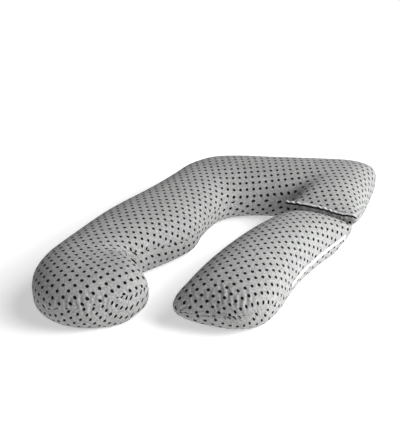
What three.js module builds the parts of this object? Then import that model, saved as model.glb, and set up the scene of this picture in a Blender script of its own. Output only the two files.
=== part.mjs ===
// A pregnancy pillow: one long filled body that runs down the left side, across the head
// and round the right back corner, and a filled side arm joined to it by a hook-and-loop
// strip. Millimetres, +Z up. The pillow lies on z = 0 with its length along Y.
import * as THREE from 'three';

// Driving dimensions
const HEIGHT = 178;
const RING_STEP = 23;
const RING_POINTS = 36;
const ARM_RING_STEP = 19;

// Section of a filled body: a rounded top, a squarer bottom, and a flat where it rests
const TOP_ROUNDNESS = 2.25;
const BOTTOM_ROUNDNESS = 2.6;
const FLOOR_SINK = 14;
const FLOOR_SINK_FADE = 6;

// Fit of one sewn piece against the next
const GAP = 0.4;

// Joint between the main body and the arm, measured back from the arm's end
const JOINT_SEGMENTS = 28;
const JOINT_WAVE = 1.1;
const JOINT_WAVE_LENGTH = 31;
const LIP_THICKNESS = 3.2;
const LIP_FRONT = 2.4;
const TAPE_HEIGHT = 5.6;
const TAPE_FRONT = 1;
const TAPE_BACK = 7;
const TAPE_TOP = 140;
const FLANGE_THICKNESS = 3;
const FLANGE_BOTTOM = 96;

// Zip in the arm's outer side seam
const ZIP_WIDTH = 11;
const ZIP_THICKNESS = 2;
const ZIP_BACK_Y = 182;
const ZIP_FRONT_Y = -200;
const SLIDER_LENGTH = 13;
const SLIDER_WIDTH = 9;
const SLIDER_THICKNESS = 4;
const PULL_LENGTH = 18;
const PULL_WIDTH = 7;
const PULL_THICKNESS = 1.6;

const CLOTH_COLOUR = '#a9aaab';
const TAPE_COLOUR = '#1c1c1e';
const ZIP_COLOUR = '#f1f2f3';

// Main body, a row for each section, from the tip of the hooked front end, round the hook,
// up the left side, across the head and down to the joint. Each row gives the section's
// inner edge, its outer edge, its highest point and its lowest point.
const MAIN_COLUMNS = ['inX', 'inY', 'inZ', 'outX', 'outY', 'outZ', 'crown', 'base'];
const MAIN_ROWS = [
  [-82, -420, 80, -72, -424, 80, 88, 76],
  [-91, -415, 88, -35, -432, 84, 116, 48],
  [-104, -406, 98, -14, -455, 88, 140, 30],
  [-114, -399, 110, -11, -485, 92, 158, 16],
  [-125, -393, 122, -25, -539, 92, 169, 4],
  [-133, -389, 132, -66, -594, 90, 175, 0],
  [-141, -385, 138, -128, -646, 88, 178, 0],
  [-148, -380, 140, -211, -673, 86, 178, 0],
  [-152, -373, 136, -296, -654, 84, 178, 0],
  [-153, -362, 128, -360, -585, 84, 178, 0],
  [-147, -348, 118, -387, -505, 84, 178, 0],
  [-134, -320, 108, -393, -425, 84, 178, 0],
  [-122, -266, 104, -395, -342, 84, 177, 0],
  [-99, -208, 90, -397, -254, 84, 177, 0],
  [-76, -142, 76, -395, -162, 84, 177, 0],
  [-62, -70, 70, -386, -70, 83, 175, 0],
  [-76, 10, 76, -369, 24, 81, 173, 0],
  [-82, 90, 80, -355, 124, 79, 171, 0],
  [-80, 152, 74, -347, 232, 78, 170, 0],
  [-70, 188, 66, -338, 344, 78, 170, 0],
  [-50, 217, 62, -286, 440, 79, 173, 0],
  [-18, 246, 62, -184, 502, 80, 175, 0],
  [26, 274, 62, -64, 550, 81, 176, 0],
  [68, 291, 64, 52, 600, 82, 177, 0],
  [102, 301, 68, 160, 643, 90, 178, 0],
  [123, 302, 74, 244, 672, 98, 178, 0],
  [134, 294, 80, 312, 668, 100, 178, 0],
  [142, 283, 84, 343, 626, 98, 178, 0],
  [147, 270, 86, 357, 546, 90, 178, 0],
  [151, 257, 90, 370, 450, 84, 177, 0],
  [153, 244, 96, 380, 368, 90, 172, 14],
  [153, 231, 106, 390, 313, 102, 164, 46],
  [152, 217, 124, 397, 264, 120, 157, 94],
  [150, 204, 142, 403, 226, 142, 150, 134],
];

// Side arm, a row for each section, from the joint to its front end. Each row gives the
// section's left edge, its right edge, its highest point and its lowest point.
const ARM_COLUMNS = MAIN_COLUMNS;
const ARM_ROWS = [
  [151, 193, 100, 400, 215, 100, 124, 94],
  [151, 178, 94, 398, 200, 90, 136, 50],
  [146, 152, 88, 388, 176, 82, 149, 12],
  [137, 109, 82, 378, 137, 76, 162, 0],
  [125, 51, 80, 365, 83, 73, 170, 0],
  [111, -17, 80, 354, 8, 72, 176, 0],
  [99, -88, 80, 347, -63, 72, 178, 0],
  [88, -165, 80, 346, -132, 74, 178, 0],
  [82, -235, 80, 350, -195, 76, 178, 0],
  [78, -294, 78, 356, -253, 80, 176, 0],
  [76, -348, 76, 356, -305, 80, 171, 0],
  [74, -398, 72, 348, -351, 78, 161, 1],
  [71, -432, 70, 331, -386, 76, 146, 6],
  [73, -455, 68, 309, -415, 74, 125, 18],
  [83, -468, 66, 282, -434, 72, 102, 38],
  [108, -472, 66, 252, -446, 70, 84, 58],
];

// Height of the joint strip above its straight line, at distances from its left end
const JOINT_COLUMNS = ['along', 'lift'];
const JOINT_ROWS = [
  [0, 4],
  [55, 8],
  [125, 8],
  [150, 6],
  [170, 3],
  [205, 0],
  [235, 3],
  [256, 1],
];

function readTable(columns, rows) {
  return rows.map((row) => Object.fromEntries(columns.map((name, i) => [name, row[i]])));
}

// Smooth edges and heights through the rows of a body's table
function bodyCurves(table) {
  const through = (place) => new THREE.CatmullRomCurve3(table.map(place), false, 'catmullrom');
  return {
    inner: through((row) => new THREE.Vector3(row.inX, row.inY, row.inZ)),
    outer: through((row) => new THREE.Vector3(row.outX, row.outY, row.outZ)),
    heights: through((row) => new THREE.Vector3(row.crown, row.base, 0)),
    last: table.length - 1,
  };
}

// Places along the table, in rows, about one step apart on the ground
function stations(curves, step) {
  const places = [0];
  for (let row = 0; row < curves.last; row += 1) {
    const run = (curve) => curve.getPoint(row / curves.last).setZ(0)
      .distanceTo(curve.getPoint((row + 1) / curves.last).setZ(0));
    const pieces = Math.max(1, Math.round((run(curves.inner) + run(curves.outer)) / 2 / step));
    for (let piece = 1; piece <= pieces; piece += 1) {
      places.push(row + piece / pieces);
    }
  }
  return places;
}

// One closed section: angle 0 is the outer edge, a quarter turn the top, half the inner edge
function sectionPoint(section, angle) {
  const { inner, outer, crown, base } = section;
  const cos = Math.cos(angle);
  const sin = Math.sin(angle);
  const top = sin >= 0;
  const power = 2 / (top ? TOP_ROUNDNESS : BOTTOM_ROUNDNESS);
  const across = Math.sign(cos) * Math.abs(cos) ** power;
  const rise = Math.abs(sin) ** power;
  const widest = cos > 0 ? outer.z : inner.z;
  const sink = FLOOR_SINK * Math.max(0, 1 - base / FLOOR_SINK_FADE);
  const z = top
    ? widest + (crown - widest) * rise
    : Math.max(base, widest - (widest - base + sink) * rise);
  const point = inner.clone().lerp(outer, (1 + across) / 2);
  return point.setZ(z);
}

function sectionAt(curves, place) {
  const share = place / curves.last;
  const heights = curves.heights.getPoint(share);
  return {
    inner: curves.inner.getPoint(share),
    outer: curves.outer.getPoint(share),
    crown: Math.min(heights.x, HEIGHT),
    base: Math.max(heights.y, 0),
  };
}

function bodyRings(curves, places) {
  return places.map((place) => {
    const section = sectionAt(curves, place);
    return Array.from({ length: RING_POINTS }, (_, i) => (
      sectionPoint(section, (i / RING_POINTS) * 2 * Math.PI)));
  });
}

// A closed solid through rings of points, with a fan on each end
function closedLoft(rings) {
  const count = rings[0].length;
  const points = rings.flat();
  const faces = [];
  for (let ring = 0; ring < rings.length - 1; ring += 1) {
    for (let i = 0; i < count; i += 1) {
      const a = ring * count + i;
      const b = ring * count + ((i + 1) % count);
      faces.push([a, b, b + count], [a, b + count, a + count]);
    }
  }
  const closeEnd = (ring, order) => {
    const centre = rings[ring].reduce((sum, p) => sum.add(p), new THREE.Vector3())
      .divideScalar(count);
    points.push(centre);
    for (let i = 0; i < count; i += 1) {
      const edge = [ring * count + i, ring * count + ((i + 1) % count)];
      faces.push([points.length - 1, ...(order ? edge : edge.reverse())]);
    }
  };
  closeEnd(0, false);
  closeEnd(rings.length - 1, true);
  const geometry = new THREE.BufferGeometry().setFromPoints(points);
  geometry.setIndex(faces.flat());
  if (signedVolume(geometry) < 0) {
    geometry.setIndex(faces.map((face) => face.reverse()).flat());
  }
  geometry.computeVertexNormals();
  return geometry;
}

function signedVolume(geometry) {
  const at = (i) => new THREE.Vector3().fromBufferAttribute(geometry.attributes.position, i);
  const index = geometry.index.array;
  let volume = 0;
  for (let i = 0; i < index.length; i += 3) {
    volume += at(index[i]).dot(at(index[i + 1]).cross(at(index[i + 2]))) / 6;
  }
  return volume;
}

// A wavy strip along the joint, between two distances back from the arm and two heights
function jointStrip(front, back, bottom, top) {
  const table = readTable(JOINT_COLUMNS, JOINT_ROWS);
  const curve = new THREE.CatmullRomCurve3(
    table.map(({ along, lift }) => new THREE.Vector3(along, 0, lift)), false, 'centripetal');
  const length = table.at(-1).along;
  const rings = Array.from({ length: JOINT_SEGMENTS + 1 }, (_, i) => {
    const { x, z: lift } = curve.getPoint(i / JOINT_SEGMENTS);
    const wave = Math.sin((Math.PI * x) / length) * Math.sin((2 * Math.PI * x) / JOINT_WAVE_LENGTH);
    const z = lift + JOINT_WAVE * wave;
    return [
      new THREE.Vector3(x, front, bottom + z),
      new THREE.Vector3(x, back, bottom + z),
      new THREE.Vector3(x, back, top + z),
      new THREE.Vector3(x, front, top + z),
    ];
  });
  return closedLoft(rings);
}

// The arm's sections that the zip crosses
function zipPlaces(rings) {
  return rings.filter((ring) => ring[0].y <= ZIP_BACK_Y && ring[0].y >= ZIP_FRONT_Y);
}

// The tape bends over the arm's side, one flat above the seam and one below it
function zipTape(armRings) {
  const across = (ring, next) => {
    const along = ring[next].clone().sub(ring[0]).normalize();
    const edge = ring[0].clone().addScaledVector(along, ZIP_WIDTH / 2);
    const out = new THREE.Vector3(Math.abs(along.z), 0, -Math.sign(along.z) * along.x);
    return (depth) => edge.clone().addScaledVector(out, depth);
  };
  const rings = zipPlaces(armRings).map((ring) => {
    const above = across(ring, 1);
    const below = across(ring, RING_POINTS - 1);
    const middle = (depth) => ring[0].clone().add(new THREE.Vector3(depth, 0, 0));
    const near = GAP;
    const far = GAP + ZIP_THICKNESS;
    return [below(near), middle(near), above(near), above(far), middle(far), below(far)];
  });
  return closedLoft(rings);
}

// A flat tab with rounded ends, its length along X
function roundedTab(length, width, thickness) {
  const radius = width / 2;
  const straight = length / 2 - radius;
  const outline = new THREE.Shape();
  outline.absarc(straight, 0, radius, -Math.PI / 2, Math.PI / 2, false);
  outline.absarc(-straight, 0, radius, Math.PI / 2, (3 * Math.PI) / 2, false);
  return new THREE.ExtrudeGeometry(outline, {
    depth: thickness, bevelEnabled: false, curveSegments: 6,
  });
}

function sewnPart(name, geometry, colour, roughness) {
  const material = new THREE.MeshStandardMaterial({ color: colour, roughness, metalness: 0 });
  const mesh = new THREE.Mesh(geometry, material);
  mesh.name = name;
  return mesh;
}

const pillow = new THREE.Group();

const mainCurves = bodyCurves(readTable(MAIN_COLUMNS, MAIN_ROWS));
const mainRings = bodyRings(mainCurves, stations(mainCurves, RING_STEP));
pillow.add(sewnPart('main_pillow', closedLoft(mainRings), CLOTH_COLOUR, 0.95));

const armCurves = bodyCurves(readTable(ARM_COLUMNS, ARM_ROWS));
const armRings = bodyRings(armCurves, stations(armCurves, ARM_RING_STEP));
pillow.add(sewnPart('side_arm', closedLoft(armRings), CLOTH_COLOUR, 0.95));

// The joint's own frame, with X along the arm's end from its left corner
const [armLeft, armRight] = [armRings[0][RING_POINTS / 2], armRings[0][0]];
const joint = new THREE.Group();
joint.position.set(armLeft.x, armLeft.y, 0);
joint.rotation.z = Math.atan2(armRight.y - armLeft.y, armRight.x - armLeft.x);
joint.updateMatrixWorld(true);

// Hem of the main cover, strip under it, and the arm cover's flange below the strip
const mainEnd = joint.worldToLocal(mainRings.at(-1)[0].clone()).y;
const lipBottom = TAPE_TOP + GAP;
const tapeBottom = TAPE_TOP - TAPE_HEIGHT;
const mainLip = jointStrip(LIP_FRONT, mainEnd - GAP, lipBottom, lipBottom + LIP_THICKNESS);
const jointTape = jointStrip(TAPE_FRONT, TAPE_BACK, tapeBottom, TAPE_TOP);
const armLip = jointStrip(GAP, GAP + FLANGE_THICKNESS, FLANGE_BOTTOM, tapeBottom - GAP);
joint.add(sewnPart('main_lip', mainLip, CLOTH_COLOUR, 0.95));
joint.add(sewnPart('joint_tape', jointTape, TAPE_COLOUR, 0.9));
joint.add(sewnPart('arm_lip', armLip, CLOTH_COLOUR, 0.95));
pillow.add(joint);

// Zip of the arm's cover, its slider closed at the joint end, and the pull hanging from it
pillow.add(sewnPart('zip_tape', zipTape(armRings), ZIP_COLOUR, 0.7));
const zip = new THREE.Group();
const [zipEnd, zipNext] = zipPlaces(armRings).map((ring) => ring[0]);
const zipRun = zipEnd.clone().sub(zipNext).normalize();
const zipOut = new THREE.Vector3(zipRun.y, -zipRun.x, 0).normalize();
const zipUp = new THREE.Vector3().crossVectors(zipOut, zipRun);
zip.setRotationFromMatrix(new THREE.Matrix4().makeBasis(zipRun, zipUp, zipOut));
zip.position.copy(zipEnd);
const seat = 2 * GAP + ZIP_THICKNESS;
const slider = sewnPart(
  'zip_slider', roundedTab(SLIDER_LENGTH, SLIDER_WIDTH, SLIDER_THICKNESS), ZIP_COLOUR, 0.4);
slider.position.set(-SLIDER_LENGTH, 0, seat);
const pull = sewnPart(
  'zip_pull', roundedTab(PULL_LENGTH, PULL_WIDTH, PULL_THICKNESS), ZIP_COLOUR, 0.4);
pull.rotation.z = Math.PI / 2;
pull.position.set(-SLIDER_LENGTH, -(SLIDER_WIDTH + PULL_LENGTH) / 2 - GAP, seat);
zip.add(slider, pull);
pillow.add(zip);

// The middle of the pillow's box lies over the origin
const centre = new THREE.Box3().setFromObject(pillow, true).getCenter(new THREE.Vector3());
pillow.position.set(-centre.x, -centre.y, 0);

export default pillow;
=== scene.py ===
"""A pregnancy pillow on a plain floor: a long hooked body, the arm that fastens to its end,
the hems and the hook-and-loop strip between them, and the white zip in the arm's side."""

import bpy
import numpy as np
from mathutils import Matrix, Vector


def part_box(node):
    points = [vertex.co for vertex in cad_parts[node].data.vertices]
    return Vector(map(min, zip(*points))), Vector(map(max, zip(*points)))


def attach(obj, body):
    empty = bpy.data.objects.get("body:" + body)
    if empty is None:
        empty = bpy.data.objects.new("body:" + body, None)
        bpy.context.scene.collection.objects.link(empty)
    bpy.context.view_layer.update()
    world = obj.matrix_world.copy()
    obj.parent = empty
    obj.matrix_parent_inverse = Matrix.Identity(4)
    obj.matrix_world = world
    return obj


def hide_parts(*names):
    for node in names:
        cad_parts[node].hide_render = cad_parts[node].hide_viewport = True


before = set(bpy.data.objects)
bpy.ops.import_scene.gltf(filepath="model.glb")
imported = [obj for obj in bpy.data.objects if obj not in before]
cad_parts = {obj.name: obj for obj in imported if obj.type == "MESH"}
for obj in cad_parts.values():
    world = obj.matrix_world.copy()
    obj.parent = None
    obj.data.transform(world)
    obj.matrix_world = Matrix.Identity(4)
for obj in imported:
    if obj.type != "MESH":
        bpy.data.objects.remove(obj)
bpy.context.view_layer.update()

# The view: a camera above the pillow's front left, on a white floor under an even white sky. One
# low, very soft sun from the right shades the left ends, and a softbox beside the arm lights it.
VIEW_TURN = np.radians(29.16)
VIEW_DROP = np.radians(27.81)
VIEW_DISTANCE = 3.074
LOOK_AT = Vector((-0.139, 0.0861, 0.088))
VIEW_LENS = 72.5

camera_data = bpy.data.cameras.new("view")
camera_data.lens = VIEW_LENS
camera_data.sensor_width = 36
camera = bpy.data.objects.new("view", camera_data)
bpy.context.scene.collection.objects.link(camera)
ahead = Vector((
    -np.sin(VIEW_TURN) * np.cos(VIEW_DROP),
    np.cos(VIEW_TURN) * np.cos(VIEW_DROP),
    -np.sin(VIEW_DROP),
))
camera.location = LOOK_AT - VIEW_DISTANCE * ahead
camera.rotation_euler = ahead.to_track_quat("-Z", "Y").to_euler()
bpy.context.scene.camera = camera
bpy.context.scene.view_settings.view_transform = "Standard"

SUN_ELEVATION = np.radians(35)
SUN_FROM = np.radians(24)
sun_data = bpy.data.lights.new("right_side", "SUN")
sun_data.energy = 2.9
sun_data.angle = np.radians(55)
sun = bpy.data.objects.new("right_side", sun_data)
towards_sun = Vector((
    np.cos(SUN_FROM) * np.cos(SUN_ELEVATION),
    np.sin(SUN_FROM) * np.cos(SUN_ELEVATION),
    np.sin(SUN_ELEVATION),
))
sun.rotation_euler = towards_sun.to_track_quat("Z", "Y").to_euler()
bpy.context.scene.collection.objects.link(sun)

SOFTBOX_AT = Vector((1.65, 0.15, 1.05))
SOFTBOX_AIM = Vector((0.24, -0.1, 0.12))
softbox_data = bpy.data.lights.new("arm_softbox", "AREA")
softbox_data.energy = 20
softbox_data.size = 0.9
softbox = bpy.data.objects.new("arm_softbox", softbox_data)
softbox.location = SOFTBOX_AT
softbox.rotation_euler = (SOFTBOX_AT - SOFTBOX_AIM).to_track_quat("Z", "Y").to_euler()
bpy.context.scene.collection.objects.link(softbox)

world = bpy.data.worlds.new("studio")
world.use_nodes = True
world.node_tree.nodes["Background"].inputs["Color"].default_value = (1, 1, 1, 1)
world.node_tree.nodes["Background"].inputs["Strength"].default_value = 0.19
bpy.context.scene.world = world

FLOOR_SIZE = 24.0
bpy.ops.mesh.primitive_plane_add(size=FLOOR_SIZE)
floor = bpy.context.object
floor.name = "floor"
floor_finish = bpy.data.materials.new("white_floor")
floor_finish.use_nodes = True
floor_shader = floor_finish.node_tree.nodes["Principled BSDF"]
floor_shader.inputs["Base Color"].default_value = (0.93, 0.93, 0.93, 1)
floor_shader.inputs["Roughness"].default_value = 1.0
floor_shader.inputs["Specular IOR Level"].default_value = 0.0
floor_shader.inputs["Emission Color"].default_value = (1, 1, 1, 1)
floor_shader.inputs["Emission Strength"].default_value = 0.4
floor.data.materials.append(floor_finish)

# The main body: a jersey cover, its top and bottom panels sewn together round the widest line and
# filled with fibre. It runs from the hooked front end up the left side, across the head and round
# the right back corner to the joint. Each row of the table is one section, in millimetres.
MM = 0.001
HEIGHT = 178
TOP_ROUNDNESS = 2.25
BOTTOM_ROUNDNESS = 2.6
FLOOR_SINK = 14
FLOOR_SINK_FADE = 6

# The columns: the inner edge, the outer edge, and the highest and the lowest point
IN_X, IN_Y, IN_Z, OUT_X, OUT_Y, OUT_Z, CROWN, BASE = range(8)
MAIN_ROWS = [
    [-82, -420, 80, -72, -424, 80, 88, 76],
    [-91, -415, 88, -35, -432, 84, 116, 48],
    [-104, -406, 98, -14, -455, 88, 140, 30],
    [-114, -399, 110, -11, -485, 92, 158, 16],
    [-125, -393, 122, -25, -539, 92, 169, 4],
    [-133, -389, 132, -66, -594, 90, 175, 0],
    [-141, -385, 138, -128, -646, 88, 178, 0],
    [-148, -380, 140, -211, -673, 86, 178, 0],
    [-152, -373, 136, -296, -654, 84, 178, 0],
    [-153, -362, 128, -360, -585, 84, 178, 0],
    [-147, -348, 118, -387, -505, 84, 178, 0],
    [-134, -320, 108, -393, -425, 84, 178, 0],
    [-122, -266, 104, -395, -342, 84, 177, 0],
    [-99, -208, 90, -397, -254, 84, 177, 0],
    [-76, -142, 76, -395, -162, 84, 177, 0],
    [-62, -70, 70, -386, -70, 83, 175, 0],
    [-76, 10, 76, -369, 24, 81, 173, 0],
    [-82, 90, 80, -355, 124, 79, 171, 0],
    [-80, 152, 74, -347, 232, 78, 170, 0],
    [-70, 188, 66, -338, 344, 78, 170, 0],
    [-50, 217, 62, -286, 440, 79, 173, 0],
    [-18, 246, 62, -184, 502, 80, 175, 0],
    [26, 274, 62, -64, 550, 81, 176, 0],
    [68, 291, 64, 52, 600, 82, 177, 0],
    [102, 301, 68, 160, 643, 90, 178, 0],
    [123, 302, 74, 244, 672, 98, 178, 0],
    [134, 294, 80, 312, 668, 100, 178, 0],
    [142, 283, 84, 343, 626, 98, 178, 0],
    [147, 270, 86, 357, 546, 90, 178, 0],
    [151, 257, 90, 370, 450, 84, 177, 0],
    [153, 244, 96, 380, 368, 90, 172, 14],
    [153, 231, 106, 390, 313, 102, 164, 46],
    [152, 217, 124, 397, 264, 120, 157, 94],
    [150, 204, 142, 403, 226, 142, 150, 134],
]

# Where the seams lie round the section and how the cloth's grain is turned on the top and on the
# bottom panel, by row of the body. Both seams' degrees are above the widest line.
MAIN_LAY_ROWS = [
    # row, outer_seam, inner_seam, grain, under_grain
    [0, 15, 10, 71, 88],
    [2, 15, 10, 71, 86],
    [3, 20, 12, 71, 84],
    [4, 22, 16, 71, 80],
    [5, 14, 18, 70, 76],
    [6, 6, 20, 68, 75],
    [7, 0, 20, 65, 74],
    [8, -3, 20, 61, 73],
    [9.5, -2, 17, 55, 72],
    [11, 0, 9, 49, 72],
    [12, 0, 2, 46, 72],
    [14, 0, 6, 41, 73],
    [15.5, 0, 4, 39, 74],
    [17, 0, 4, 38, 75],
    [19, 0, 10, 36, 75],
    [21, 0, 14, 34, 75],
    [23, 0, 14, 30, 74],
    [25, 0, 8, 31, 75],
    [28, 0, 0, 35, 78],
    [30, 0, 0, 37, 78],
    [33, 0, 0, 36, 74],
]


def along_rows(rows, places):
    """A smooth Catmull-Rom curve through every column of a table, at fractional rows: on each
    stretch a cubic with the two rows as ends and half the step between their neighbours as slope."""
    table = np.array(rows, float)
    table = np.vstack([2 * table[0] - table[1], table, 2 * table[-1] - table[-2]])
    row = np.minimum(places.astype(int), len(rows) - 2)
    share = (places - row)[:, None]
    before, start, end, after = (table[row + step] for step in range(4))
    leave = (end - before) / 2
    arrive = (after - start) / 2
    return (
        start
        + leave * share
        + (3 * (end - start) - 2 * leave - arrive) * share**2
        + (2 * (start - end) + leave + arrive) * share**3
    )


def places_along(rows, steps):
    """Fractional rows, spaced on the ground by the longer of the two edges. Each entry of the
    steps is a row and the spacing, in millimetres, from that row on."""
    table = np.array(rows, float)
    runs = np.maximum(
        np.hypot(*np.diff(table[:, IN_X:IN_Z], axis=0).T),
        np.hypot(*np.diff(table[:, OUT_X:OUT_Z], axis=0).T),
    )
    from_row, spacing = np.array(steps, float).T
    step = spacing[np.searchsorted(from_row, np.arange(len(runs)), side="right") - 1]
    counts = np.maximum(1, np.round(runs / step)).astype(int)
    parts = [row + np.arange(count) / count for row, count in enumerate(counts)]
    return np.concatenate(parts + [[len(rows) - 1.0]])


def eased(values, window):
    """Values along the body smoothed by a raised cosine over an odd number of places."""
    kernel = np.hanning(window + 2)[1:-1]
    kernel /= kernel.sum()
    columns = np.array(values, float).reshape(len(values), -1)
    held = np.pad(columns, ((window // 2, window // 2), (0, 0)), mode="edge")
    smooth = [np.convolve(column, kernel, mode="valid") for column in held.T]
    return np.array(smooth).T.reshape(np.shape(values))


LAY_WINDOW = 31


def lay_of(rows, places):
    """Each column of a lay table, eased between its rows, at fractional rows of the body."""
    table = np.array(rows, float)
    return [eased(np.interp(places, table[:, 0], column), LAY_WINDOW) for column in table.T[1:]]


def cover_angles(outer_seam, inner_seam, top_columns, bottom_columns):
    """The angle round the section at each column: over the top from the outer seam to the inner
    one, then under the bottom back to the outer seam, in even steps on each panel."""
    outer = np.radians(outer_seam)[:, None]
    inner = np.pi - np.radians(inner_seam)[:, None]
    over = outer + (inner - outer) * np.arange(top_columns) / top_columns
    under = inner + (2 * np.pi + outer - inner) * np.arange(bottom_columns) / bottom_columns
    return np.hstack([over, under])


def cover_points(rows, places, angles):
    """Points of a filled cover. At each place the plan point goes from inner to outer edge as a
    power of the angle's cosine, and the height from the widest line to crown or base as the same
    power of its sine, cut flat where it would sink below the base."""
    section = along_rows(rows, places)
    inner = section[:, None, IN_X:OUT_X]
    outer = section[:, None, OUT_X:CROWN]
    crown = np.minimum(section[:, CROWN, None], HEIGHT)
    base = np.maximum(section[:, BASE, None], 0)
    cosine, sine = np.cos(angles), np.sin(angles)
    power = np.where(sine >= 0, 2 / TOP_ROUNDNESS, 2 / BOTTOM_ROUNDNESS)
    across = np.sign(cosine) * np.abs(cosine) ** power
    rise = np.abs(sine) ** power
    blend = np.clip(0.5 + 2 * across, 0, 1)
    widest = inner[..., 2] + (outer[..., 2] - inner[..., 2]) * blend
    sink = FLOOR_SINK * np.maximum(0, 1 - base / FLOOR_SINK_FADE)
    below = np.maximum(base, widest - (widest - base + sink) * rise)
    height = np.where(sine >= 0, widest + (crown - widest) * rise, below)
    plan = inner[..., :2] + (outer[..., :2] - inner[..., :2]) * ((1 + across) / 2)[..., None]
    return np.dstack([plan, height])


def cover_normals(points):
    """Outward unit normals of a closed grid, from the cross product of its two directions."""
    along = np.gradient(points, axis=0)
    around = np.roll(points, -1, axis=1) - np.roll(points, 1, axis=1)
    normals = np.cross(around, along)
    normals /= np.linalg.norm(normals, axis=2, keepdims=True) + 1e-9
    centre = points.mean(axis=1, keepdims=True)
    inward = np.sum(normals * (points - centre)) < 0
    return -normals if inward else normals


BEND_WINDOW = 21
BEND_REACH = 0.9
LEAST_BEND = 0.002
HOLD_POWER = 8


def flat_cloth(points, grain, middle_column, columns, inner_side):
    """Where each point of a panel lay in the flat cloth, in millimetres. The panel's middle line
    is rolled out with the cloth's turn taken off it, and every point lies beside it at its arc
    length from that line, square to the section. The line's own steps keep their length: what is
    not along the section goes forward. On the inside of a bend the arc is held to about the
    bend's radius, so that the print is drawn together there and never turns back."""
    panel = points[:, columns]
    step = np.linalg.norm(np.diff(panel, axis=1), axis=2)
    arc = np.concatenate([np.zeros((len(panel), 1)), np.cumsum(step, axis=1)], axis=1)
    arc -= arc[:, middle_column:middle_column + 1]
    square = eased(panel[:, -1, :2] - panel[:, 0, :2], BEND_WINDOW)
    square /= np.linalg.norm(square, axis=1, keepdims=True)
    run = np.gradient(panel[:, middle_column], axis=0)
    bend = np.abs(np.gradient(np.unwrap(np.arctan2(square[:, 1], square[:, 0]))))
    reach = eased(BEND_REACH * np.linalg.norm(run, axis=1) / (bend + LEAST_BEND), BEND_WINDOW)
    inside = np.maximum(0, arc * inner_side / reach[:, None])
    arc = arc / (1 + inside**HOLD_POWER) ** (1 / HOLD_POWER)
    turn = -np.radians(grain)
    cosine, sine = np.cos(turn), np.sin(turn)

    def turned(vector):
        x = vector[:, 0] * cosine - vector[:, 1] * sine
        y = vector[:, 0] * sine + vector[:, 1] * cosine
        return np.stack([x, y], axis=1)

    forward = np.stack([-square[:, 1], square[:, 0]], axis=1)
    forward *= np.sign(np.sum(run[:, :2] * forward))
    sideways = np.sum(run[:, :2] * square, axis=1)
    ahead = np.sqrt(np.maximum(0, np.sum(run**2, axis=1) - sideways**2))
    line = np.cumsum(turned(square * sideways[:, None] + forward * ahead[:, None]), axis=0)
    return line[:, None] + arc[..., None] * turned(square)[:, None]


PRINT_PITCH = 25.0


def add_closed(name, points, panels):
    """A closed mesh on the grid with a fan at each end, and a UV map in repeats of the print."""
    stations, columns = points.shape[:2]
    station = np.arange(stations - 1)[:, None]
    column = np.arange(columns)
    after = (column + 1) % columns
    quads = np.stack([
        station * columns + column,
        station * columns + after,
        (station + 1) * columns + after,
        (station + 1) * columns + column,
    ], axis=-1)
    ends = points[[0, -1]].mean(axis=1)
    first = len(points) * columns
    fans = np.concatenate([
        np.stack([0 * column + first, after, column], axis=1),
        np.stack([0 * column + first + 1, column, after], axis=1) + [0, first - columns, first - columns],
    ])
    flat = np.concatenate([
        np.stack([part[:-1, :-1], part[:-1, 1:], part[1:, 1:], part[1:, :-1]], axis=2) for part in panels
    ], axis=1)
    rim = [np.concatenate([part[end, :-1] for part in panels]) for end in (0, -1)]
    rim_after = [np.concatenate([part[end, 1:] for part in panels]) for end in (0, -1)]
    middle = [0.5 * (edge + edge.mean(axis=0)) for edge in rim]
    fan_flat = np.concatenate([
        np.stack([middle[0], rim_after[0], rim[0]], axis=1),
        np.stack([middle[1], rim[1], rim_after[1]], axis=1),
    ])
    mesh = bpy.data.meshes.new(name)
    vertices = np.concatenate([points.reshape(-1, 3), ends]) * MM
    faces = quads.reshape(-1, 4).tolist() + fans.tolist()
    mesh.from_pydata(vertices.tolist(), [], faces)
    layer = mesh.uv_layers.new(name="print")
    corners = np.concatenate([flat.reshape(-1, 2), fan_flat.reshape(-1, 2)])
    layer.data.foreach_set("uv", (corners / PRINT_PITCH).ravel())
    mesh.shade_smooth()
    piece = bpy.data.objects.new(name, mesh)
    bpy.context.scene.collection.objects.link(piece)
    return piece


SEAM_DEPTH = 1.6
SEAM_WIDTH = 4.6
PUCKER_AWAY = 9
PUCKER_WIDTH = 8


def seam_relief(from_seam, along, pucker):
    """How far the cover is drawn in near a seam: a narrow groove, and beside it small puckers
    whose height waves along the seam about every 15 mm, at uneven steps and strengths."""
    groove = -SEAM_DEPTH * np.exp(-(from_seam / SEAM_WIDTH) ** 2)
    wave = np.sin(along * 0.43 + 1.7 * np.sin(along * 0.071)) * (0.6 + 0.4 * np.sin(along * 0.113))
    beside = np.exp(-((np.abs(from_seam) - PUCKER_AWAY) / PUCKER_WIDTH) ** 2)
    return groove + pucker * wave * beside


def seam_run(points, column):
    """The length along one column from the first place to each, in millimetres."""
    steps = np.linalg.norm(np.diff(points[:, column], axis=0), axis=1)
    return np.concatenate([[0], np.cumsum(steps)])[:, None]


FOLD_FADE = 0.8
FOLD_BEHIND = 30


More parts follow.
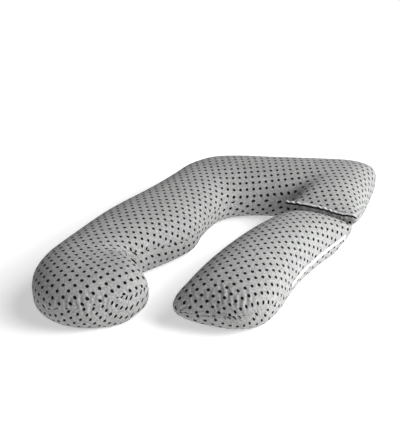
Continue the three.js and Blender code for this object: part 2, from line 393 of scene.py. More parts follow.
def drag_folds(rows, points, normals, folds):
    """Creases pulled in a cover. Each runs between two spots given by row and degrees round the
    section, bowed sideways: a narrow groove, a soft roll on either side, fading to both ends. It
    leaves alone what lies far behind the straight line between its spots."""
    relief = np.zeros(points.shape[:2])
    for row, turn, to_row, to_turn, bow, depth, width in folds:
        ends = cover_points(rows, np.array([row, to_row], float), np.radians([[turn], [to_turn]]))[:, 0]
        length = np.linalg.norm(ends[1] - ends[0])
        run = (ends[1] - ends[0]) / length
        nearest = np.argmin(((points - ends.mean(axis=0)) ** 2).sum(axis=2))
        outward = normals.reshape(-1, 3)[nearest]
        away = points - ends[0]
        share = np.clip(away @ run / length, 0, 1)
        bowed = away @ np.cross(run, outward) - bow * np.sin(np.pi * share)
        fade = np.sin(np.pi * share) ** FOLD_FADE * (away @ outward > -FOLD_BEHIND)
        groove = np.exp(-(bowed / width) ** 2)
        roll = np.exp(-((np.abs(bowed) - 2 * width) / (1.2 * width)) ** 2)
        relief += depth * fade * (0.5 * roll - groove)
    return relief


CLOSING_STATIONS = 8
CLOSED_SHARE = 0.98
CLOSING_BULGE = 2.2


def closed_to_seam(points, seam):
    """Further sections that close a cover's last one to a seam between two points. Each point
    moves straight to its own place along the seam, bulged forward by half a sine wave."""
    start, end = np.array(seam, float)
    run = end - start
    along = np.clip((points[-1] - start) @ run / (run @ run), 0, 1)
    target = start + along[:, None] * run
    forward = np.array([run[1], -run[0], 0]) / np.hypot(run[0], run[1])
    share = np.linspace(0, CLOSED_SHARE, CLOSING_STATIONS + 1)[1:, None, None]
    closing = points[-1] + (target - points[-1]) * share
    return np.concatenate([points, closing + forward * CLOSING_BULGE * np.sin(np.pi * share)])


RELIEF_FROM_FLOOR = 12


def dress_body(rows, lay_rows, steps, columns, bottom_shift, folds, puckers, end_seam=None):
    """One cover on a table's sections: its points moved along their normals by seams, puckers and
    folds, and the two panels' prints. The columns are the counts on the top and on the bottom
    panel, and the puckers the heights beside the outer and the inner seam. The top's print is
    true on its middle line, and the bottom's a fifth of the way under from the inner seam."""
    top_columns, bottom_columns = columns
    places = places_along(rows, steps)
    outer_seam, inner_seam, grain, under_grain = lay_of(lay_rows, places)
    points = cover_points(rows, places, cover_angles(outer_seam, inner_seam, *columns))
    if end_seam is not None:
        points = closed_to_seam(points, end_seam)
        grain = np.pad(grain, (0, CLOSING_STATIONS), mode="edge")
        under_grain = np.pad(under_grain, (0, CLOSING_STATIONS), mode="edge")
    normals = cover_normals(points)
    total_columns = top_columns + bottom_columns
    top = np.arange(top_columns + 1)
    bottom = np.arange(top_columns, total_columns + 1) % total_columns
    top_flat = flat_cloth(points, grain, top_columns // 2, top, 1)
    bottom_flat = flat_cloth(points, under_grain, bottom_columns // 5, bottom, -1) + bottom_shift
    ring = np.linalg.norm(points - np.roll(points, 1, axis=1), axis=2)
    distance = np.cumsum(ring, axis=1)
    distance -= distance[:, :1]
    from_outer = np.minimum(distance, ring.sum(axis=1, keepdims=True) - distance)
    from_inner = distance - distance[:, top_columns:top_columns + 1]
    side = np.where(np.arange(total_columns) < total_columns // 2, 1, -1)
    relief = seam_relief(from_outer * side, seam_run(points, 0), puckers[0])
    relief += seam_relief(from_inner, seam_run(points, top_columns), puckers[1])
    relief += drag_folds(rows, points, normals, folds)
    relief *= np.clip(points[..., 2] / RELIEF_FROM_FLOOR, 0, 1)
    return points + normals * relief[..., None], top_flat, bottom_flat


# Folds, by row and degrees round the section at each end, and the bow, depth and width in
# millimetres. The hook's front is drawn into short upright folds above its seam.
MAIN_FOLDS = [
    # row, turn, to_row, to_turn, bow, depth, width
    [6.9, 26, 6.8, -4, 3, 2.1, 4.0],
    [6.7, 30, 6.5, 0, -3, 2.4, 4.0],
    [6.42, 26, 6.35, 2, 2, 3.2, 3.6],
    [6.28, 20, 6.1, 4, -2, 3.2, 3.6],
    [6.1, 32, 5.92, 4, 3, 2.7, 4.2],
    [6.0, 8, 5.85, -12, 0, 2.2, 4.2],
    [5.78, 28, 5.66, 0, -3, 2.7, 4.0],
    [5.56, 32, 5.54, 0, 3, 2.4, 4.2],
    [6.0, 42, 5.7, 28, 2, 1.5, 4.0],
    [5.33, 28, 5.24, -4, -2, 2.4, 4.2],
    [5.1, 20, 5.1, -10, 2, 2.2, 4.2],
    [4.75, 20, 4.6, -6, 3, 1.7, 4.6],
    [4.3, 34, 4.1, 8, -3, 1.4, 4.6],
    [7.2, 18, 7.1, -8, 3, 1.7, 4.4],
    [30.2, 8, 31.6, 22, 4, 2.5, 5.0],
    [31.3, -4, 32.4, 30, -5, 2.8, 4.6],
    [31.8, -30, 32.7, 10, 4, 2.5, 4.6],
]
MAIN_STEPS = [[0, 5.0], [4, 3.2], [8, 5.6]]
MAIN_PANEL_COLUMNS = [106, 54]
MAIN_BOTTOM_SHIFT = [9.0, 6.0]
MAIN_PUCKERS = [0.7, 0.5]

main_points, main_top, main_bottom = dress_body(
    MAIN_ROWS, MAIN_LAY_ROWS, MAIN_STEPS, MAIN_PANEL_COLUMNS, MAIN_BOTTOM_SHIFT, MAIN_FOLDS, MAIN_PUCKERS)

# The part's middle is over the origin, so the tables move by what centres its box
low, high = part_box("main_pillow")
shift = np.array([
    (low[0] + high[0]) / 2 / MM - (main_points[..., 0].min() + main_points[..., 0].max()) / 2,
    (low[1] + high[1]) / 2 / MM - (main_points[..., 1].min() + main_points[..., 1].max()) / 2,
    0,
])
main_points = main_points + shift
main_cover = add_closed("main_cover", main_points, [main_top, main_bottom])
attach(main_cover, "root")
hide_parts("main_pillow")

YARN_SHARE = 0.25
FLECK_SHARE = 0.2
MOTTLE_SHARE = 0.55
WALE_SHARE = 0.35
DOT_EDGE = 0.01
ALONG_WALES = 0.78


def jersey(name, dot_radius, deep, pale):
    """Heather grey jersey between a deep and a pale tone, with a square repeat of small dark dots.
    The print's UV map counts repeats, so a dot sits at the middle of each unit square, moved a
    little by noise. The heather adds up noises of three sizes: yarn, flecks and mottling."""
    finish = bpy.data.materials.new(name)
    finish.use_nodes = True
    nodes, links = finish.node_tree.nodes, finish.node_tree.links
    shader = nodes["Principled BSDF"]
    shader.inputs["Roughness"].default_value = 0.92
    shader.inputs["Specular IOR Level"].default_value = 0.12
    shader.inputs["Sheen Weight"].default_value = 0.05
    shader.inputs["Sheen Roughness"].default_value = 0.6

    def node(kind, **values):
        made = nodes.new(kind)
        for key, value in values.items():
            setattr(made, key, value)
        return made

    def noise(source, scale, detail, roughness=0.5):
        made = node("ShaderNodeTexNoise")
        made.inputs["Scale"].default_value = scale
        made.inputs["Detail"].default_value = detail
        made.inputs["Roughness"].default_value = roughness
        links.new(source, made.inputs["Vector"])
        return made

    def maths(kind, first, second):
        made = node("ShaderNodeMath", operation=kind)
        links.new(first, made.inputs[0])
        if isinstance(second, float):
            made.inputs[1].default_value = second
        else:
            links.new(second, made.inputs[1])
        return made.outputs[0]

    def mapped(source, scale, turn):
        made = node("ShaderNodeMapping")
        made.inputs["Scale"].default_value = scale
        made.inputs["Rotation"].default_value = (0, 0, turn)
        links.new(source, made.inputs["Vector"])
        return made.outputs["Vector"]

    place = node("ShaderNodeTexCoord").outputs["Object"]
    print_map = node("ShaderNodeUVMap", uv_map="print").outputs["UV"]

    wander = noise(place, 90, 2)
    centred = node("ShaderNodeVectorMath", operation="SUBTRACT")
    centred.inputs[1].default_value = (0.5, 0.5, 0.5)
    links.new(wander.outputs["Color"], centred.inputs[0])
    slight = node("ShaderNodeVectorMath", operation="SCALE")
    slight.inputs["Scale"].default_value = 0.055
    links.new(centred.outputs[0], slight.inputs[0])
    moved = node("ShaderNodeVectorMath", operation="ADD")
    links.new(print_map, moved.inputs[0])
    links.new(slight.outputs[0], moved.inputs[1])
    cell = node("ShaderNodeVectorMath", operation="FRACTION")
    links.new(moved.outputs[0], cell.inputs[0])
    from_middle = node("ShaderNodeVectorMath", operation="SUBTRACT")
    from_middle.inputs[1].default_value = (0.5, 0.5, 0.0)
    links.new(cell.outputs[0], from_middle.inputs[0])
    flat = node("ShaderNodeVectorMath", operation="MULTIPLY")
    flat.inputs[1].default_value = (1, 1, 0)
    links.new(from_middle.outputs[0], flat.inputs[0])
    reach = node("ShaderNodeVectorMath", operation="LENGTH")
    links.new(flat.outputs[0], reach.inputs[0])
    dot = node("ShaderNodeMapRange", interpolation_type="SMOOTHSTEP")
    dot.inputs["From Min"].default_value = dot_radius + DOT_EDGE
    dot.inputs["From Max"].default_value = dot_radius - DOT_EDGE
    links.new(reach.outputs["Value"], dot.inputs["Value"])

    yarn = noise(mapped(print_map, (26, 9, 1), ALONG_WALES), 1.0, 4, 0.7)
    fleck = noise(place, 750, 2, 0.6)
    cloud = noise(place, 14, 2)
    mottle = noise(place, 190, 3, 0.65)
    yarn_tone = maths("MULTIPLY", yarn.outputs["Fac"], YARN_SHARE)
    fleck_tone = maths("MULTIPLY", fleck.outputs["Fac"], FLECK_SHARE)
    mottle_tone = maths("MULTIPLY", mottle.outputs["Fac"], MOTTLE_SHARE)
    tone = maths("ADD", maths("ADD", yarn_tone, fleck_tone), mottle_tone)
    shade = node("ShaderNodeMapRange")
    shade.inputs["From Min"].default_value = 0.38
    shade.inputs["From Max"].default_value = 0.62
    links.new(tone, shade.inputs["Value"])
    heather = node("ShaderNodeMix", data_type="RGBA")
    heather.inputs["A"].default_value = deep
    heather.inputs["B"].default_value = pale
    links.new(shade.outputs["Result"], heather.inputs["Factor"])
    worn = node("ShaderNodeMix", data_type="RGBA", blend_type="MULTIPLY")
    worn.inputs["Factor"].default_value = 0.16
    links.new(heather.outputs["Result"], worn.inputs["A"])
    links.new(cloud.outputs["Fac"], worn.inputs["B"])
    ink = node("ShaderNodeMix", data_type="RGBA")
    ink.inputs["B"].default_value = (0.002, 0.002, 0.003, 1)
    links.new(dot.outputs["Result"], ink.inputs["Factor"])
    links.new(worn.outputs["Result"], ink.inputs["A"])
    links.new(ink.outputs["Result"], shader.inputs["Base Color"])

    knit = node("ShaderNodeTexWave", wave_type="BANDS", bands_direction="X", wave_profile="SIN")
    knit.inputs["Scale"].default_value = 2.6
    knit.inputs["Distortion"].default_value = 1.4
    knit.inputs["Detail"].default_value = 1
    knit.inputs["Detail Scale"].default_value = 3
    links.new(mapped(print_map, (1, 1, 1), ALONG_WALES), knit.inputs["Vector"])
    wales = maths("MULTIPLY", knit.outputs["Fac"], WALE_SHARE)
    raised = maths("ADD", wales, maths("MULTIPLY", fleck.outputs["Fac"], 1 - WALE_SHARE))
    bump = node("ShaderNodeBump")
    bump.inputs["Strength"].default_value = 0.5
    bump.inputs["Distance"].default_value = 0.0008
    links.new(raised, bump.inputs["Height"])
    links.new(bump.outputs["Normal"], shader.inputs["Normal"])
    return finish


cover_jersey = jersey("dotted_jersey", 0.216, (0.2, 0.203, 0.2, 1), (0.56, 0.565, 0.556, 1))
main_cover.data.materials.append(cover_jersey)

# The side arm: the same jersey, a top and a bottom panel, filled. It lies from the joint to a
# flatter front end whose left corner is gathered. The tables have the main body's columns.
ARM_ROWS = [
    [151, 193, 100, 400, 215, 100, 124, 94],
    [151, 178, 94, 398, 200, 90, 136, 50],
    [146, 152, 88, 388, 176, 82, 149, 12],
    [137, 109, 82, 378, 137, 76, 162, 0],
    [125, 51, 80, 365, 83, 73, 170, 0],
    [111, -17, 80, 354, 8, 72, 176, 0],
    [99, -88, 80, 347, -63, 72, 178, 0],
    [88, -165, 80, 346, -132, 74, 178, 0],
    [82, -235, 80, 350, -195, 76, 178, 0],
    [78, -294, 78, 356, -253, 80, 176, 0],
    [76, -348, 76, 356, -305, 80, 171, 0],
    [74, -398, 72, 348, -351, 78, 161, 1],
    [71, -432, 70, 331, -386, 76, 146, 6],
    [73, -455, 68, 309, -415, 74, 125, 18],
    [83, -468, 66, 282, -434, 72, 102, 38],
    [108, -472, 66, 252, -446, 70, 84, 58],
]

ARM_LAY_ROWS = [
    [0, 0, 0, 50, 30],
    [9, 0, 0, 50, 30],
    [10, 1, 0, 51, 30],
    [11, 3, 0, 53, 30],
    [12, 6, -2, 56, 31],
    [13, 11, -4, 60, 34],
    [14, 17, -8, 65, 37],
    [15, 24, -12, 69, 39],
]
ARM_END_SEAM = [[104, -473, 62], [250, -450, 76]]
ARM_FOLDS = [
    [12.1, 124, 14.5, 104, 3, 1.8, 4.6],
    [12.4, 104, 14.1, 90, -3, 1.4, 4.6],
    [12.3, 95, 14.2, 82, 3, 2.4, 4.0],
    [11.4, 93, 13.8, 66, -4, 3.1, 3.8],
    [11.6, 84, 13.2, 64, -4, 2.8, 4.0],
    [12.3, 67, 13.4, 42, 3, 2.5, 4.0],
    [12.1, 58, 13.4, 26, 4, 2.5, 4.2],
    [11.0, 68, 13.1, 22, -5, 2.5, 4.4],
    [13.4, 78, 14.7, 56, 3, 2.2, 4.0],
    [11.5, 46, 12.3, 28, 3, 1.5, 4.2],
    [14.95, 168, 14.2, 122, 2, 2.4, 3.0],
    [15.0, 150, 14.5, 112, -2, 2.1, 3.0],
    [14.9, -160, 14.4, -118, 2, 2.2, 3.0],
    [14.7, 172, 13.8, 150, 0, 1.8, 3.0],
]
ARM_STEPS = [[0, 5.0], [10, 2.8]]
ARM_PANEL_COLUMNS = [116, 60]
ARM_BOTTOM_SHIFT = [4.0, 15.0]
ARM_PUCKERS = [1.1, 0.5]

arm_points, arm_top, arm_bottom = dress_body(
    ARM_ROWS, ARM_LAY_ROWS, ARM_STEPS, ARM_PANEL_COLUMNS, ARM_BOTTOM_SHIFT, ARM_FOLDS, ARM_PUCKERS,
    ARM_END_SEAM)
arm_points = arm_points + shift
arm_cover = add_closed("arm_cover", arm_points, [arm_top, arm_bottom])
arm_cover.data.materials.append(cover_jersey)
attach(arm_cover, "root")
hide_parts("side_arm")

# The joint: the main cover's rippled hem, made paler than the cover as painted highlight, over a dark
# hook-and-loop strip whose near-black also paints the shade in the gap, and below it the arm cover's
# flange, a flat fold of the dotted jersey. They follow the arm's first section, and the table says how
# far they are lifted along it, in millimetres.
JOINT_ROWS = [
    # along, lift
    [0, 4],
    [55, 8],
    [125, 8],
    [150, 6],
    [170, 3],
    [205, 0],
    [235, 3],
    [256, 1],
]
JOINT_STATIONS = 330
RIPPLE_LENGTH = 22.0

joint_left = np.array(ARM_ROWS[0][IN_X:IN_Z]) + shift[:2]
joint_run = np.array(ARM_ROWS[0][OUT_X:OUT_Z]) - np.array(ARM_ROWS[0][IN_X:IN_Z])
joint_run = joint_run / np.linalg.norm(joint_run)
joint_back = np.array([-joint_run[1], joint_run[0]])
joint_line = along_rows(JOINT_ROWS, np.linspace(0, len(JOINT_ROWS) - 1, JOINT_STATIONS))

CRUMPLED_FROM = 175
CRUMPLED_RUN = 50
CRUMPLED_ABOVE = 112
CRUMPLED_RISE = 12


def joint_band(name, front, back, low, high, low_ripple, ripple, squareness, around=28, crumple=0.0):
    """A band along the joint. Its section is a superellipse between two distances back and two
    heights. Both its edges ripple up by one uneven sine wave along the line, and back by another.
    Near the right end its front can be crumpled forward by a third wave that runs slantwise."""
    angle = np.arange(around) / around * 2 * np.pi
    power = 2 / squareness
    out = np.sign(np.cos(angle)) * np.abs(np.cos(angle)) ** power
    up = np.sign(np.sin(angle)) * np.abs(np.sin(angle)) ** power
    along, lift = joint_line[:, :1], joint_line[:, 1:2]
    wave = np.sin(2 * np.pi * along / RIPPLE_LENGTH + 1.6 * np.sin(along / 27))
    wave = wave * (0.6 + 0.4 * np.sin(along / 19))
    drift = np.sin(2 * np.pi * along / (RIPPLE_LENGTH * 1.7) + 0.8)
    height = (low + high) / 2 + (high - low) / 2 * up + lift
    height = height + wave * (low_ripple * (1 - up) + ripple * (1 + up)) / 2
    depth = (front + back) / 2 + (back - front) / 2 * out + 0.5 * ripple * drift
    rightwards = np.clip((along - CRUMPLED_FROM) / CRUMPLED_RUN, 0, 1)
    upwards = np.clip((height - CRUMPLED_ABOVE) / CRUMPLED_RISE, 0, 1)
    slant = np.sin(0.42 * along + 0.31 * height + np.sin(0.13 * along))
    depth = depth - crumple * rightwards * upwards * (0.6 + slant)
    plan = joint_left + along[..., None] * joint_run + depth[..., None] * joint_back
    points = np.dstack([plan, height])
    girth = np.linalg.norm(np.diff(points, axis=1, append=points[:, :1]), axis=2)
    girth = np.concatenate([0 * along, np.cumsum(girth, axis=1)], axis=1)
    return add_closed(name, points, [np.dstack([np.broadcast_to(along, girth.shape), girth])])


HEM_FRONT, HEM_BACK = 2.0, 10.8
HEM_LOW, HEM_HIGH = 140.4, 143.8
hem = joint_band(
    "main_hem", HEM_FRONT, HEM_BACK, HEM_LOW, HEM_HIGH, low_ripple=1.5, ripple=1.8, squareness=5)
NO_DOTS = -1.0
# The hem's paler jersey tones are painted highlight on the same cloth, shown without its dots.
hem.data.materials.append(jersey("hem_jersey_painted_highlight", NO_DOTS, (0.42, 0.42, 0.42, 1), (0.8, 0.8, 0.8, 1)))
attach(hem, "root")
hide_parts("main_lip")

STRIP_FRONT, STRIP_BACK = 0.6, 7.0
STRIP_LOW, STRIP_HIGH = 134.4, 140.0
strip = joint_band(
    "joint_strip", STRIP_FRONT, STRIP_BACK, STRIP_LOW, STRIP_HIGH, low_ripple=1.2, ripple=1.5,
    squareness=3.5)
# The strip's near-black is the tape's own dark colour and also painted shade for the narrow gap between
# the hem and the flange.
strip_finish = bpy.data.materials.new("hook_and_loop_and_painted_gap_shade")
strip_finish.use_nodes = True
strip_nodes, strip_links = strip_finish.node_tree.nodes, strip_finish.node_tree.links
strip_shader = strip_nodes["Principled BSDF"]
strip_shader.inputs["Roughness"].default_value = 0.95
strip_shader.inputs["Specular IOR Level"].default_value = 0.15
strip_place = strip_nodes.new("ShaderNodeTexCoord")
loops = strip_nodes.new("ShaderNodeTexNoise")
loops.inputs["Scale"].default_value = 900
loops.inputs["Detail"].default_value = 3
strip_links.new(strip_place.outputs["Object"], loops.inputs["Vector"])
pile_and_gap_shade_tone = strip_nodes.new("ShaderNodeMix")
pile_and_gap_shade_tone.data_type = "RGBA"
pile_and_gap_shade_tone.inputs["A"].default_value = (0.004, 0.004, 0.005, 1)
pile_and_gap_shade_tone.inputs["B"].default_value = (0.035, 0.035, 0.037, 1)
strip_links.new(loops.outputs["Fac"], pile_and_gap_shade_tone.inputs["Factor"])
strip_links.new(pile_and_gap_shade_tone.outputs["Result"], strip_shader.inputs["Base Color"])
pile_bump = strip_nodes.new("ShaderNodeBump")
pile_bump.inputs["Strength"].default_value = 0.8
pile_bump.inputs["Distance"].default_value = 0.001
strip_links.new(loops.outputs["Fac"], pile_bump.inputs["Height"])
strip_links.new(pile_bump.outputs["Normal"], strip_shader.inputs["Normal"])
strip.data.materials.append(strip_finish)
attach(strip, "root")
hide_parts("joint_tape")

FLANGE_FRONT, FLANGE_BACK = 0.5, 3.2
FLANGE_LOW, FLANGE_HIGH = 96.0, 134.0
FLANGE_CORNER = 22.0
FLANGE_CORNER_FROM = 210
FLANGE_CORNER_RUN = 44
corner_share = np.clip((joint_line[:, :1] - FLANGE_CORNER_FROM) / FLANGE_CORNER_RUN, 0, 1)
flange_low = FLANGE_LOW + FLANGE_CORNER * corner_share**2
flange = joint_band(
    "arm_flange", FLANGE_FRONT, FLANGE_BACK, flange_low, FLANGE_HIGH, low_ripple=0, ripple=1.2,
    squareness=9, around=64, crumple=1.9)
flange.data.materials.append(cover_jersey)
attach(flange, "root")
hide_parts("arm_lip")

# The zip in the arm's outer seam: white woven tape that lies on the cover, with a closed coil of
# moulded teeth down its middle. It runs between the ends of the zip's own box.
zip_low, zip_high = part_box("zip_tape")
TAPE_HALF_WIDTH = 6.5
TAPE_THICKNESS = 1.1
TAPE_OFF_COVER = 0.4
TAPE_STATIONS = 300
TAPE_AROUND = 32
SIDE_STATIONS = 4000


def beside_seam(places, rise):
    """Points on the arm's side at heights above (or, if negative, below) its widest line: the
    section's own superellipse solved for that height."""
    section = along_rows(ARM_ROWS, places)
    inner = section[:, None, IN_X:OUT_X]
    outer = section[:, None, OUT_X:CROWN]
    widest = section[:, OUT_Z, None]
    crown = section[:, CROWN, None]
    base = np.maximum(section[:, BASE, None], 0)
    sink = FLOOR_SINK * np.maximum(0, 1 - base / FLOOR_SINK_FADE)
    above = rise >= 0
    share = np.abs(rise) / np.where(above, crown - widest, widest - base + sink)
    roundness = np.where(above, TOP_ROUNDNESS, BOTTOM_ROUNDNESS)
    across = (1 - share**roundness) ** (1 / roundness)
    plan = inner[..., :2] + (outer[..., :2] - inner[..., :2]) * ((1 + across) / 2)[..., None]
    return np.dstack([plan, widest + rise]) + shift


def seam_frame(places, rise):
    """On the arm's side: points, and the unit directions along the seam, up the side and out."""
    spot = beside_seam(places, rise)
    along = np.gradient(spot, axis=0)
    along /= np.linalg.norm(along, axis=2, keepdims=True)
    up = beside_seam(places, rise + 0.5) - beside_seam(places, rise - 0.5)
    up /= np.linalg.norm(up, axis=2, keepdims=True)
    out = np.cross(up, along)
    out /= np.linalg.norm(out, axis=2, keepdims=True)
    return spot, along, up, out * np.sign(out[..., :1])


ON_SEAM = np.zeros((1, 1))
side_places = np.linspace(0, len(ARM_ROWS) - 1, SIDE_STATIONS)
seam_y = beside_seam(side_places, ON_SEAM)[:, 0, 1] * MM
zip_places = side_places[(seam_y <= zip_high[1]) & (seam_y >= zip_low[1])]
zip_run = np.linalg.norm(np.diff(beside_seam(zip_places, ON_SEAM)[:, 0], axis=0), axis=1)
zip_length = np.concatenate([[0], np.cumsum(zip_run)])
tape_places = np.linspace(zip_places[0], zip_places[-1], TAPE_STATIONS)
tape_angle = np.arange(TAPE_AROUND) / TAPE_AROUND * 2 * np.pi
tape_across = TAPE_HALF_WIDTH * np.sign(np.cos(tape_angle)) * np.abs(np.cos(tape_angle)) ** 0.5
tape_proud = TAPE_THICKNESS / 2 * (1 + np.sign(np.sin(tape_angle)) * np.abs(np.sin(tape_angle)) ** 0.5)
spot, _, _, out = seam_frame(tape_places, np.broadcast_to(tape_across, (TAPE_STATIONS, TAPE_AROUND)))
tape_points = spot + out * (TAPE_OFF_COVER + tape_proud)[None, :, None]
tape_uv = np.dstack(np.broadcast_arrays(
    np.linspace(0, zip_length[-1], TAPE_STATIONS)[:, None],
    np.append(tape_across, tape_across[0])[None],
))
zip_tape = add_closed("zip_tape_cloth", tape_points, [tape_uv])


def woven_white():
    """White woven zip tape: two crossed sets of fine bands as bump, a little grey between them."""
    finish = bpy.data.materials.new("white_zip_tape")
    finish.use_nodes = True
    nodes, links = finish.node_tree.nodes, finish.node_tree.links
    shader = nodes["Principled BSDF"]
    shader.inputs["Roughness"].default_value = 0.7
    print_map = nodes.new("ShaderNodeUVMap")
    print_map.uv_map = "print"
    bands = []
    for direction in ("X", "Y"):
        wave = nodes.new("ShaderNodeTexWave")
        wave.bands_direction = direction
        wave.inputs["Scale"].default_value = 9
        links.new(print_map.outputs["UV"], wave.inputs["Vector"])
        bands.append(wave)
    weave = nodes.new("ShaderNodeMath")
    weave.operation = "MULTIPLY"
    links.new(bands[0].outputs["Fac"], weave.inputs[0])
    links.new(bands[1].outputs["Fac"], weave.inputs[1])
    tone = nodes.new("ShaderNodeMix")
    tone.data_type = "RGBA"
    tone.inputs["A"].default_value = (0.80, 0.80, 0.79, 1)
    tone.inputs["B"].default_value = (0.96, 0.96, 0.96, 1)
    links.new(weave.outputs[0], tone.inputs["Factor"])
    links.new(tone.outputs["Result"], shader.inputs["Base Color"])
    bump = nodes.new("ShaderNodeBump")
    bump.inputs["Strength"].default_value = 0.4
    bump.inputs["Distance"].default_value = 0.0004
    links.new(weave.outputs[0], bump.inputs["Height"])
    links.new(bump.outputs["Normal"], shader.inputs["Normal"])
    return finish


zip_tape.data.materials.append(woven_white())
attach(zip_tape, "root")
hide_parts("zip_tape")

# The zip's coil: a row of small plastic teeth, sewn to the middle of the tape. Each is a bar across
# the seam that thins towards its ends, half a pitch from its mate on the other side. The teeth are
# left in the default pale finish.
COIL_PITCH = 1.6
TOOTH_HALF_LENGTH = 2.1
TOOTH_HALF_WIDTH = 0.62
TOOTH_HALF_HEIGHT = 0.95
TOOTH_ABOVE_TAPE = 0.2
TOOTH_TO_SIDE = 0.9
TOOTH_RINGS = 5
TOOTH_SIDES = 6

tooth_along = np.arange(COIL_PITCH, zip_length[-1] - COIL_PITCH, COIL_PITCH / 2)
tooth_places = np.interp(tooth_along, zip_length, zip_places)
tooth_side = np.where(np.arange(len(tooth_places)) % 2 == 0, TOOTH_TO_SIDE, -TOOTH_TO_SIDE)[:, None]
spot, along, up, out = seam_frame(tooth_places, tooth_side)
angle = np.arange(TOOTH_SIDES) / TOOTH_SIDES * 2 * np.pi
across = np.linspace(-1, 1, TOOTH_RINGS)[:, None]
bulge = np.sqrt(np.clip(1.04 - across**2, 0.04, None))
tooth_up = (TOOTH_HALF_LENGTH * across + 0 * angle).reshape(-1, 1)
tooth_run = (TOOTH_HALF_WIDTH * bulge * np.cos(angle)).reshape(-1, 1)
tooth_out = (TOOTH_HALF_HEIGHT * bulge * np.sin(angle)).reshape(-1, 1)
tooth_base = spot + out * (TAPE_OFF_COVER + TAPE_THICKNESS + TOOTH_ABOVE_TAPE)
teeth = tooth_base + tooth_up * up + tooth_run * along + tooth_out * out

ring = np.arange(TOOTH_SIDES)
ring_first = np.arange(TOOTH_RINGS - 1)[:, None] * TOOTH_SIDES
side_faces = np.stack([
    ring_first + ring,
    ring_first + (ring + 1) % TOOTH_SIDES,
    ring_first + TOOTH_SIDES + (ring + 1) % TOOTH_SIDES,
    ring_first + TOOTH_SIDES + ring,
], axis=-1).reshape(-1, 4)
cap_faces = np.stack([ring[::-1], ring + (TOOTH_RINGS - 1) * TOOTH_SIDES])
tooth_first = np.arange(len(teeth))[:, None, None] * TOOTH_RINGS * TOOTH_SIDES
coil_mesh = bpy.data.meshes.new("zip_coil")
coil_faces = (side_faces + tooth_first).reshape(-1, 4).tolist()
coil_faces += (cap_faces + tooth_first).reshape(-1, TOOTH_SIDES).tolist()
coil_mesh.from_pydata((teeth.reshape(-1, 3) * MM).tolist(), [], coil_faces)
coil_mesh.shade_smooth()
coil = bpy.data.objects.new("zip_coil", coil_mesh)
bpy.context.scene.collection.objects.link(coil)
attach(coil, "root")

# The slider and its pull, in pale painted metal: two plates with a wedge between them, turned-down
# sides, an arched bridge with a ring through it, and a flat pull with a long slot. The slider stands
# at the joint end of the zip. Sizes are in millimetres along, up and out from the seam.
SLIDER_HALF_LENGTH = 6.4
LOWER_HALF_WIDTH = 4.2
UPPER_HALF_WIDTH = 4.4
SLIDER_NARROWING = 0.12
BRIDGE_HALF_LENGTH = 4.4
BRIDGE_FOOT = 3.6
BRIDGE_RISE = 2.4
PULL_TILT = np.radians(38)
PULL_CENTRE_DOWN = 12.6
PULL_CENTRE_OUT = 5.2
LINK_UP = 11.2
LINK_OUT = 1.9


def slider_part(verts, faces, grid, wrapped=False):
    """Adds a grid of points closed round its columns, with flat ends or joined end to end."""
    rows, columns = grid.shape[:2]
    first = sum(len(part) for part in verts)
    index = first + np.arange(rows * columns).reshape(rows, columns)
    after = np.roll(index, -1, axis=1)
    follow = np.roll(index, -1, axis=0)
    quads = np.stack([index, after, np.roll(follow, -1, axis=1), follow], axis=-1)
    faces.extend((quads if wrapped else quads[:-1]).reshape(-1, 4).tolist())
    if not wrapped:
        faces.append(index[0, ::-1].tolist())
        faces.append(index[-1].tolist())
    verts.append(grid.reshape(-1, 3))


def plate(centre, half_length, half_width, low, high, narrowing=0):
    """A plate with rounded corners and edges: a superellipse outline that can narrow to one end."""
    angle = np.arange(36) / 36 * 2 * np.pi
    along = half_length * np.sign(np.cos(angle)) * np.abs(np.cos(angle)) ** 0.6
    up = half_width * np.sign(np.sin(angle)) * np.abs(np.sin(angle)) ** 0.6
    up = up * (1 - narrowing * (1 + along / half_length) / 2)
    edge = 0.25 * (high - low)
    levels = np.array([low, low + edge, high - edge, high])[:, None]
    scale = np.array([0.93, 1.0, 1.0, 0.93])[:, None]
    return np.dstack([centre[0] + along * scale, centre[1] + up * scale, levels + 0 * along])


def bar(path, half_width, half_thickness):
    """A bar of rounded section swept along a path in the plane that holds along and out."""
    angle = np.arange(12) / 12 * 2 * np.pi
    run = np.gradient(path, axis=0)
    run /= np.linalg.norm(run, axis=1, keepdims=True)
    off = half_thickness * np.sin(angle)
    return np.dstack([
        path[:, :1] - run[:, 1:] * off,
        half_width * np.cos(angle) + 0 * path[:, :1],
        path[:, 1:] + run[:, :1] * off,
    ])


def ring_of(outer, inner, half_thickness):
    """A flat closed ring between two loops, its section a superellipse from one to the other."""
    angle = np.arange(14) / 14 * 2 * np.pi
    across = np.sign(np.cos(angle)) * np.abs(np.cos(angle)) ** 0.5
    proud = half_thickness * np.sign(np.sin(angle)) * np.abs(np.sin(angle)) ** 0.5
    middle, half = (outer + inner) / 2, (outer - inner) / 2
    flat = middle[:, None] + half[:, None] * across[None, :, None]
    return np.dstack([flat, np.broadcast_to(proud, flat.shape[:2])])


def loop(half_width, half_height, shift_down):
    """A closed superellipse loop of 40 points."""
    angle = np.arange(40) / 40 * 2 * np.pi
    return np.stack([
        half_width * np.sign(np.cos(angle)) * np.abs(np.cos(angle)) ** 0.75,
        half_height * np.sign(np.sin(angle)) * np.abs(np.sin(angle)) ** 0.75 - shift_down,
    ], axis=1)


slider_low, slider_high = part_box("zip_slider")
slider_place = side_places[np.argmin(np.abs(seam_y - (slider_low[1] + slider_high[1]) / 2))]
around_slider = slider_place + np.array([-0.01, 0, 0.01])
spot, along, up, out = [part[1, 0] for part in seam_frame(around_slider, ON_SEAM)]

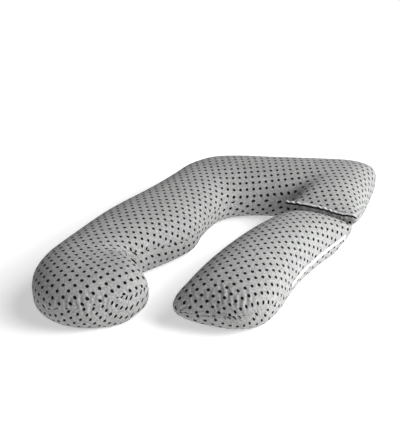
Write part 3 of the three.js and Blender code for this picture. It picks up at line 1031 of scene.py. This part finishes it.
arch = np.linspace(-1, 1, 13)
bridge_path = np.stack([
    BRIDGE_HALF_LENGTH * arch,
    BRIDGE_FOOT + BRIDGE_RISE * np.sqrt(np.clip(1 - arch**4, 0, 1)),
], axis=1)
lower_plate = plate(
    (0, 0), SLIDER_HALF_LENGTH, LOWER_HALF_WIDTH, low=0.5, high=1.5, narrowing=SLIDER_NARROWING)
upper_plate = plate(
    (0, 0), SLIDER_HALF_LENGTH, UPPER_HALF_WIDTH, low=3.1, high=4.2, narrowing=SLIDER_NARROWING)
wedge = plate((-4.6, 0), half_length=1.5, half_width=1.2, low=1.3, high=3.3)
flanks = [
    plate((0.6, 3.9 * edge), half_length=4.6, half_width=0.4, low=2.1, high=3.5) for edge in (-1, 1)
]
bridge = bar(bridge_path, half_width=0.9, half_thickness=0.5)
slider_verts, slider_faces = [], []
for grid in (lower_plate, upper_plate, wedge, *flanks, bridge):
    slider_part(slider_verts, slider_faces, grid)
pull_ring = ring_of(loop(3.5, 8.8, 0), loop(1.5, 5.4, -0.6), half_thickness=0.8)
link = ring_of(loop(1.3, 4.2, 0), loop(0.5, 3.4, 0), half_thickness=0.45)
pull_verts, pull_faces = [], []
slider_part(pull_verts, pull_faces, pull_ring, wrapped=True)
slider_part(pull_verts, pull_faces, link + [0, LINK_UP, LINK_OUT], wrapped=True)

metal = bpy.data.materials.new("pale_painted_metal")
metal.use_nodes = True
metal_nodes, metal_links = metal.node_tree.nodes, metal.node_tree.links
metal_shader = metal_nodes["Principled BSDF"]
metal_shader.inputs["Base Color"].default_value = (0.82, 0.82, 0.81, 1)
metal_shader.inputs["Roughness"].default_value = 0.34
metal_shader.inputs["Coat Weight"].default_value = 0.3
metal_place = metal_nodes.new("ShaderNodeTexCoord")
orange_peel = metal_nodes.new("ShaderNodeTexNoise")
orange_peel.inputs["Scale"].default_value = 1400
metal_links.new(metal_place.outputs["Object"], orange_peel.inputs["Vector"])
metal_bump = metal_nodes.new("ShaderNodeBump")
metal_bump.inputs["Strength"].default_value = 0.15
metal_bump.inputs["Distance"].default_value = 0.0002
metal_links.new(orange_peel.outputs["Fac"], metal_bump.inputs["Height"])
metal_links.new(metal_bump.outputs["Normal"], metal_shader.inputs["Normal"])

pull_rise = up * np.cos(PULL_TILT) - out * np.sin(PULL_TILT)
pull_proud = out * np.cos(PULL_TILT) + up * np.sin(PULL_TILT)
pull_centre = spot + out * PULL_CENTRE_OUT - pull_rise * PULL_CENTRE_DOWN
for name, node, verts, faces, centre, rise, proud in (
        ("slider_body", "zip_slider", slider_verts, slider_faces, spot, up, out),
        ("slider_pull", "zip_pull", pull_verts, pull_faces, pull_centre, pull_rise, pull_proud)):
    local = np.concatenate(verts)
    placed = centre + local[:, :1] * along + local[:, 1:2] * rise + local[:, 2:3] * proud
    mesh = bpy.data.meshes.new(name)
    mesh.from_pydata((placed * MM).tolist(), [], faces)
    mesh.shade_smooth()
    mesh.materials.append(metal)
    piece = bpy.data.objects.new(name, mesh)
    bpy.context.scene.collection.objects.link(piece)
    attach(piece, "root")
    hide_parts(node)
